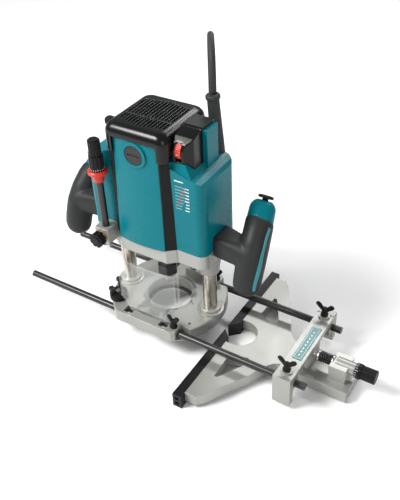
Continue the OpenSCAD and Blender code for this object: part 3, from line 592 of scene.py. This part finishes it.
white_print = finish("white_print", (0.72, 0.74, 0.72), 0.45, grain=2000, depth=0.03, edge=0.1)
low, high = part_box("holder_badge")
wide, tall = (high[0] - low[0]) / mm, (high[1] - low[1]) / mm
edge_in, border_line, dash_line = 1.6, 0.5, 1.6
left, right, bottom, top = edge_in, wide - edge_in, edge_in, tall - edge_in
border = [((left, bottom), (right, bottom), border_line),
          ((left, top), (right, top), border_line),
          ((left, bottom), (left, top), border_line),
          ((right, bottom), (right, top), border_line)]
dash_step = tall / 10
rule = [((wide / 2, k * dash_step), (wide / 2, (k + 0.45) * dash_step), dash_line)
        for k in range(1, 9)]
printed_lines("badge_lines", Vector((low[0], low[1], high[2])), Vector((1, 0, 0)),
                      Vector((0, 1, 0)), border + rule, white_print, "holder")
paint(finish("fence_moulding", (0.009, 0.009, 0.01), 0.42, grain=500, depth=0.1, edge=0.5,
             edge_wear_and_highlight=(0.06, 0.06, 0.06), gloss=0.2), "face_plates")


low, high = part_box("feed_spring")
spring_axis = (low[1] + high[1]) / 2, (low[2] + high[2]) / 2
spring_black = finish("spring_black", (0.02, 0.02, 0.02), 0.35, metal=0.5, grain=1200)
seat_thick = 2.2 * mm
feed_middle, feed_wire = 6.1 * mm, 1.25 * mm
feed_line = coil_line(Vector((low[0] + seat_thick, *spring_axis)), Vector((1, 0, 0)),
                      high[0] - low[0] - seat_thick, feed_middle, feed_wire, 6)
spring = new_piece("fence_feed_spring", tube(feed_line, feed_wire, 8), [spring_black], "fence")
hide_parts("feed_spring")


bands_for_1_mm = 314


def turned_thread():
    """Bright screw with a 1 mm thread rolled along x."""
    material = finish("turned_thread", (0.6, 0.6, 0.58), 0.28, metal=1, grain=1500, depth=0.06)
    nodes, links = material.node_tree.nodes, material.node_tree.links
    place = nodes.new("ShaderNodeTexCoord")
    thread = nodes.new("ShaderNodeTexWave")
    thread.wave_type = "BANDS"
    thread.bands_direction = "X"
    thread.inputs["Scale"].default_value = bands_for_1_mm
    ridge = nodes.new("ShaderNodeBump")
    ridge.inputs["Distance"].default_value = 0.3 * mm
    links.new(place.outputs["Object"], thread.inputs["Vector"])
    links.new(thread.outputs["Fac"], ridge.inputs["Height"])
    links.new(ridge.outputs["Normal"], nodes["Principled BSDF"].inputs["Normal"])
    return material


paint(turned_thread(), "feed_screw")
paint(black_moulding, "feed_knob", "feed_ring")


mark_half, short_mark = 0.28, 0.6


def tick_marks(name, centre, axis, radius, reach, count, body, every=5):
    """Painted graduations round a turned part, each fifth one, or as asked, longer."""
    form = bmesh.new()
    axis = Vector(axis)
    out = axis.orthogonal().normalized()
    across = axis.cross(out)
    half = mark_half / radius
    for k in range(count):
        a = 2 * pi * k / count
        end = reach * (1 if k % every == 0 else short_mark)
        ring = []
        for b, h in ((a - half, 0), (a + half, 0), (a + half, end), (a - half, end)):
            ring.append([centre + (axis * h + (out * cos(b) + across * sin(b)) * r) * mm
                         for r in (radius + 0.02, radius + 0.12)])
        base = [form.verts.new(p[0]) for p in ring]
        top = [form.verts.new(p[1]) for p in ring]
        form.faces.new(top)
        form.faces.new(base[::-1])
        for i in range(4):
            j = (i + 1) % 4
            form.faces.new((base[i], base[j], top[j], top[i]))
    marks = new_piece(name, as_mesh(name, form, True), [white_print], body, smooth=False)


low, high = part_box("feed_ring")
tick_marks("feed_ring_marks", Vector((low[0] + 0.6 * mm, (low[1] + high[1]) / 2,
                                      (low[2] + high[2]) / 2)),
           (1, 0, 0), (high[2] - low[2]) / 2 / mm, 4.2, 20, "feed")


def washer(name, centre, axis, profile, material, body):
    """A turned ring or cap with its axis along the given direction."""
    form = bmesh.new()
    lathe(form, profile, 48)
    bmesh.ops.recalc_face_normals(form, faces=form.faces)
    turn = Vector((0, 0, 1)).rotation_difference(Vector(axis)).to_matrix().to_4x4()
    bmesh.ops.transform(form, matrix=Matrix.Translation(centre) @ turn, verts=form.verts)
    piece = new_piece(name, as_mesh(name, form), [material], body)
    return piece


seat_profile = [(4.1, 0), (8.2, 0), (8.6, 0.4), (8.6, 1.8), (8.2, 2.2), (4.1, 2.2), (4.1, 0)]
low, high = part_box("feed_spring")
for name, x in (("spring_washer_inner", low[0]),
                ("spring_washer_outer", high[0] + 0.3 * mm)):
    washer(name, Vector((x, *spring_axis)), (1, 0, 0), seat_profile, zinc_plate, "fence")

# ---------------------------------------------------------------- motor housing
# Glass-filled nylon, moulded in colour with a semi-gloss skin, carries the motor and both
# columns' wings. Panels of the same nylon close its front and back, between dark soft
# corner strips.

teal_nylon = finish("teal_nylon", (0.0, 0.145, 0.178), 0.27, mottle=0.03, grain=600, depth=0.04,
                    edge=1.1, edge_wear_and_highlight=(0.01, 0.24, 0.28), gloss=0.14)
paint(teal_nylon, "motor_housing", "front_panel", "rear_panel")
soft_strip = finish("soft_strip", (0.012, 0.013, 0.013), 0.6, grain=1100, depth=0.2, gloss=0.12)
paint(soft_strip, "corner_trims")
paint(finish("field_steel", (0.25, 0.25, 0.26), 0.4, metal=1, grain=300), "stator", "armature")
paint(finish("enamelled_copper", (0.45, 0.16, 0.05), 0.3, metal=0.8, grain=400, depth=0.5),
      "field_windings")
paint(finish("carbon", (0.03, 0.03, 0.03), 0.6, grain=1500), "brushes")

# ---------------------------------------------------------------- speed chart
# Printed guide on the right wing beside the speed wheel: a heading rule, short white lines
# for the settings and a rising row of red dashes.

signal_red = finish("signal_red", (0.56, 0.03, 0.014), 0.34, grain=900, depth=0.08, edge=0.6,
                    edge_wear_and_highlight=(0.66, 0.12, 0.08), gloss=0.35)
chart_corner = Vector((50.5 * mm, -40 * mm, 212 * mm))
row_heights = [1 + 4.6 * k for k in range(8)]
chart_rows = [((0.5, h), (9 + 1.4 * k, h), 0.35) for k, h in enumerate(row_heights)]
chart_figures = [((14 + 0.9 * (k % 3), h), (20.5, h), 1.3) for k, h in enumerate(row_heights)]
heading = [((0, 41), (13, 41), 1.5)]
printed_lines("chart_white", chart_corner, Vector((1, 0, 0)), Vector((0, 0, 1)),
                      chart_rows + chart_figures + heading, white_print, "motor")
dashes = [((x, h), (x + 1.1, h + 2.4), 1.5)
          for x, h in ((3.2 + 1.75 * k, 5 + 4.2 * k) for k in range(7))]
printed_lines("chart_red", chart_corner, Vector((1, 0, 0)), Vector((0, 0, 1)),
                      dashes, signal_red, "motor", rise=0.15)

# ---------------------------------------------------------------- top cover
# Glossy black nylon hood over the fan with large soft corners and fourteen louvres, cut
# away for the speed control. Two lugs stand out on its left.

# The lighter edge colour on this gloss black is a painted highlight that picks out the louvre
# slots and soft corners; it is not wear.
gloss_black = finish("gloss_black", (0.003, 0.0034, 0.0036), 0.24, grain=500, depth=0.02,
                     edge=0.9, edge_wear_and_highlight=(0.13, 0.15, 0.15), gloss=0.3)


def plan_ring(half_x, half_y, corner, z, steps=8):
    """A rounded rectangle about the spindle axis at one height."""
    ring = []
    for cx, cy, start in ((1, 1, 0), (-1, 1, 90), (-1, -1, 180), (1, -1, 270)):
        for k in range(steps + 1):
            a = radians(start + 90 * k / steps)
            ring.append(Vector((cx * (half_x - corner) + corner * cos(a),
                                cy * (half_y - corner) + corner * sin(a), z)) * mm)
    return ring


def box_form(corner_low, corner_high):
    """A plain block between two corners, as a tool for cutting."""
    form = bmesh.new()
    bmesh.ops.create_cube(form, size=1)
    for v in form.verts:
        v.co = Vector([lo if c < 0 else hi for c, lo, hi in zip(v.co, corner_low, corner_high)])
        v.co *= mm
    return form


def as_object(name, form):
    """A form as a working object, to be cut or melted before it becomes a piece."""
    block = bpy.data.objects.new(name, as_mesh(name, form, True))
    bpy.context.scene.collection.objects.link(block)
    return block


def applied(block, name):
    """The mesh of an object with its modifiers applied; the object itself is removed."""
    bpy.context.view_layer.update()
    shaped = block.evaluated_get(bpy.context.evaluated_depsgraph_get())
    mesh = bpy.data.meshes.new_from_object(shaped)
    mesh.name = name
    bpy.data.objects.remove(block)
    return mesh


def cut_from(block, tool):
    step = block.modifiers.new("cut", "BOOLEAN")
    step.operation = "DIFFERENCE"
    step.object = tool
    step.solver = "EXACT"


hood_low, hood_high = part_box("top_cover")
hood_x = hood_high[0] / mm - 0.2
hood_y = hood_high[1] / mm
hood_bottom, hood_top = hood_low[2] / mm, hood_high[2] / mm
hood_corner, roll_in, roll_up, roll_foot, roll_steps = 12, 11, 12.9, 13, 8
form = bmesh.new()
rings = [plan_ring(hood_x, hood_y, hood_corner, hood_bottom + 0.02),
         plan_ring(hood_x, hood_y, hood_corner, hood_top - roll_foot)]
for k in range(1, roll_steps + 1):
    a = radians(90 * k / roll_steps)
    inset, rise = roll_in * (1 - cos(a)), roll_up * sin(a)
    rings.append(plan_ring(hood_x - inset, hood_y - inset, hood_corner - 0.35 * inset,
                           hood_top - roll_foot + rise))
loft(form, rings)
hood = as_object("hood", form)

slot_count, slot_start, slot_pitch, slot_wide, slot_deep = 14, -33.4, 4.9, 2.9, 12
front_row, rear_row = (-36, -13), (-10.4, 35)
form = bmesh.new()
for k in range(slot_count):
    x = slot_start + k * slot_pitch
    for y0, y1 in ((front_row[0] + 0.25 * abs(x), front_row[1]),
                   (rear_row[0], rear_row[1] - 0.2 * abs(x))):
        slot = as_mesh("slot", box_form((x, y0, hood_top - slot_deep),
                                        (x + slot_wide, y1, hood_top + 4)))
        form.from_mesh(slot)
        bpy.data.meshes.remove(slot)
tools = [as_object("slots", form),
         as_object("recess", box_form((44, -34.2, hood_bottom - 10), (80, 22, hood_top + 10))),
         as_object("inside", box_form((-33.2, -60, hood_bottom - 10),
                                      (33.2, 60, hood_bottom + 20.3)))]
for tool in tools:
    cut_from(hood, tool)
cover_mesh = applied(hood, "hood")
for tool in tools:
    bpy.data.objects.remove(tool)
cover = new_piece("louvred_cover", cover_mesh, [gloss_black], "motor")
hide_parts("top_cover")
for face in cover_mesh.polygons:
    face.use_smooth = abs(face.normal.z) < 0.98
cover_mesh.set_sharp_from_angle(angle=radians(35))

lug_y, lug_heights, lug_half_wide, lug_half_tall = -22, (286, 299.5), 6, 5.5
form = bmesh.new()
for z in lug_heights:
    loft(form, [oval(Vector((x, lug_y, z)) * mm, lug_half_wide * s * mm, lug_half_tall * s * mm,
                     Vector((0, 1, 0)), Vector((0, 0, 1)), 24, 3)
                for x, s in ((-45, 1), (-55, 1), (-57.6, 0.92), (-58.7, 0.75), (-59, 0.45))])
new_piece("cover_lugs", as_mesh("lugs", form, True), [soft_strip], "motor")


def softened(node, name, voxel, rounds, fuller):
    """A node's form with its facets and joints melted into one another, and a little fuller."""
    block = bpy.data.objects.new(name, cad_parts[node].data.copy())
    bpy.context.scene.collection.objects.link(block)
    block.data.materials.clear()
    grid = block.modifiers.new("grid", "REMESH")
    grid.mode = "VOXEL"
    grid.voxel_size = voxel * mm
    melt = block.modifiers.new("melt", "SMOOTH")
    melt.factor = 0.5
    melt.iterations = rounds
    swell = block.modifiers.new("swell", "DISPLACE")
    swell.mid_level = 0
    swell.strength = fuller * mm
    return applied(block, name)


pod = new_piece("speed_pod", softened("dial_pod", "speed_pod", 0.8, 10, 0.2), [gloss_black],
                "motor")
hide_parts("dial_pod")
paint(finish("dark_lid", (0.016, 0.017, 0.017), 0.4, grain=900, gloss=0.35), "controller_lid")
paint(finish("cap_moulding", (0.018, 0.019, 0.02), 0.45, grain=900, depth=0.2, gloss=0.3),
      "brush_caps", "fan", "shaft_lock", "lock_lever", "trigger")
paint(signal_red, "speed_dial", "depth_collar")
low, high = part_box("speed_dial")
tick_marks("dial_marks", Vector((low[0] + 2 * mm, (low[1] + high[1]) / 2,
                                 (low[2] + high[2]) / 2)),
           (1, 0, 0), (high[2] - low[2]) / 2 / mm, 3.4, 10, "dial", every=2)

# ---------------------------------------------------------------- grips
# Each grip is a bent nylon core under a soft overmould, joined to the wing by a thick neck.
# A cap of the housing's nylon closes the top, and a strip of it runs down the outer side.

grip_rubber = finish("grip_rubber", (0.022, 0.024, 0.024), 0.5, mottle=0.05, grain=1300,
                     depth=0.25, edge=0.8, gloss=0.2)

for node, material, voxel, rounds, fuller, slot in (
        ("left_grip", grip_rubber, 1.5, 14, 1.9, "grip"),
        ("right_grip", grip_rubber, 1.5, 14, 1.9, "grip"),
        ("grip_caps", teal_nylon, 1.0, 8, 1.0, "teal")):
    skin = softened(node, node, voxel, rounds, fuller)
    grip = new_piece(node + "_skin", skin, [material], "motor")
    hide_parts(node)


inlay_teal = finish("inlay_teal", (0.02, 0.23, 0.27), 0.42, grain=900, depth=0.1, edge=0.4)
grip_middle = 0.138
inlay_way = [(-17, 112), (-14, 122), (-8, 134), (-3, 144), (2, 153), (8, 162), (15, 170.5),
             (22, 177), (27, 181)]


def inlay(name, s):
    """The strip of nylon let into a grip's outer side, laid on the rubber's own surface."""
    skin = bpy.data.objects[("right" if s > 0 else "left") + "_grip_skin"].data
    tree = BVHTree.FromPolygons([v.co for v in skin.vertices],
                                [p.vertices[:] for p in skin.polygons])
    out = Vector((s * 0.8, -0.6, 0))
    line = along([Vector((s * grip_middle / mm, y, z)) * mm for y, z in inlay_way], 5)
    rings = []
    for i, p in enumerate(line):
        ahead = (line[min(i + 1, len(line) - 1)] - line[max(i - 1, 0)]).normalized()
        across = Vector((0, ahead.z, -ahead.y))
        half = 2.4 + 1.3 * sin(pi * min(i / 24, 1))
        top, under = [], []
        for w, proud in ((-1, 0.1), (-0.86, 0.5), (-0.45, 0.6), (0, 0.62), (0.45, 0.6),
                         (0.86, 0.5), (1, 0.1)):
            hit, facing = tree.ray_cast(p + across * w * half * mm + out * 0.05, -out)[:2]
            top.append(hit + facing * proud * mm)
            under.append(hit - facing * 1.2 * mm)
        rings.append(top + under[::-1])
    form = bmesh.new()
    loft(form, rings)
    mesh = as_mesh(name, form, True)
    new_piece(name, mesh, [inlay_teal], "motor")
    mesh.set_sharp_from_angle(angle=radians(40))


inlay("right_inlay", 1)
inlay("left_inlay", -1)

button_seat, button_lean = Vector((131, 37, 190)) * mm, radians(35)
button = washer("lock_on_button", button_seat, (0, sin(button_lean), cos(button_lean)),
                [(0, 5), (4, 5), (4, 14.6), (9.3, 14.6), (10.3, 15.4), (10.4, 17.2), (9.7, 18.3),
                 (7, 18.9), (3, 18.6), (0, 18.4)], black_moulding, "lock_button")
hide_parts("lock_button")

# ---------------------------------------------------------------- depth stop
# A black rod with a red collar, a fluted fine adjuster on top, and a clamp knob on a brass
# collar in front of the casting's lug.

paint(black_moulding, "depth_knob", "clamp_knob")
low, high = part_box("depth_knob")
knob_axis = Vector(((low[0] + high[0]) / 2, (low[1] + high[1]) / 2, low[2]))
knob_radius, marks_up = 9.35, 1.2 * mm
tick_marks("depth_knob_marks", knob_axis + Vector((0, 0, marks_up)), (0, 0, 1), knob_radius, 3,
           20, "depth_knob")
low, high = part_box("clamp_knob")
brass = finish("brass", (0.55, 0.36, 0.12), 0.3, metal=1, grain=1600, depth=0.06, edge=0.4)
lug_face_y = -63.45 * mm
collar_place = Vector(((low[0] + high[0]) / 2, lug_face_y, (low[2] + high[2]) / 2))
washer("clamp_collar", collar_place, (0, -1, 0),
       [(5.25, 0), (7.6, 0), (8, 0.5), (8, 2.9), (7.4, 3.4), (5.25, 3.4), (5.25, 0)], brass,
       "motor")
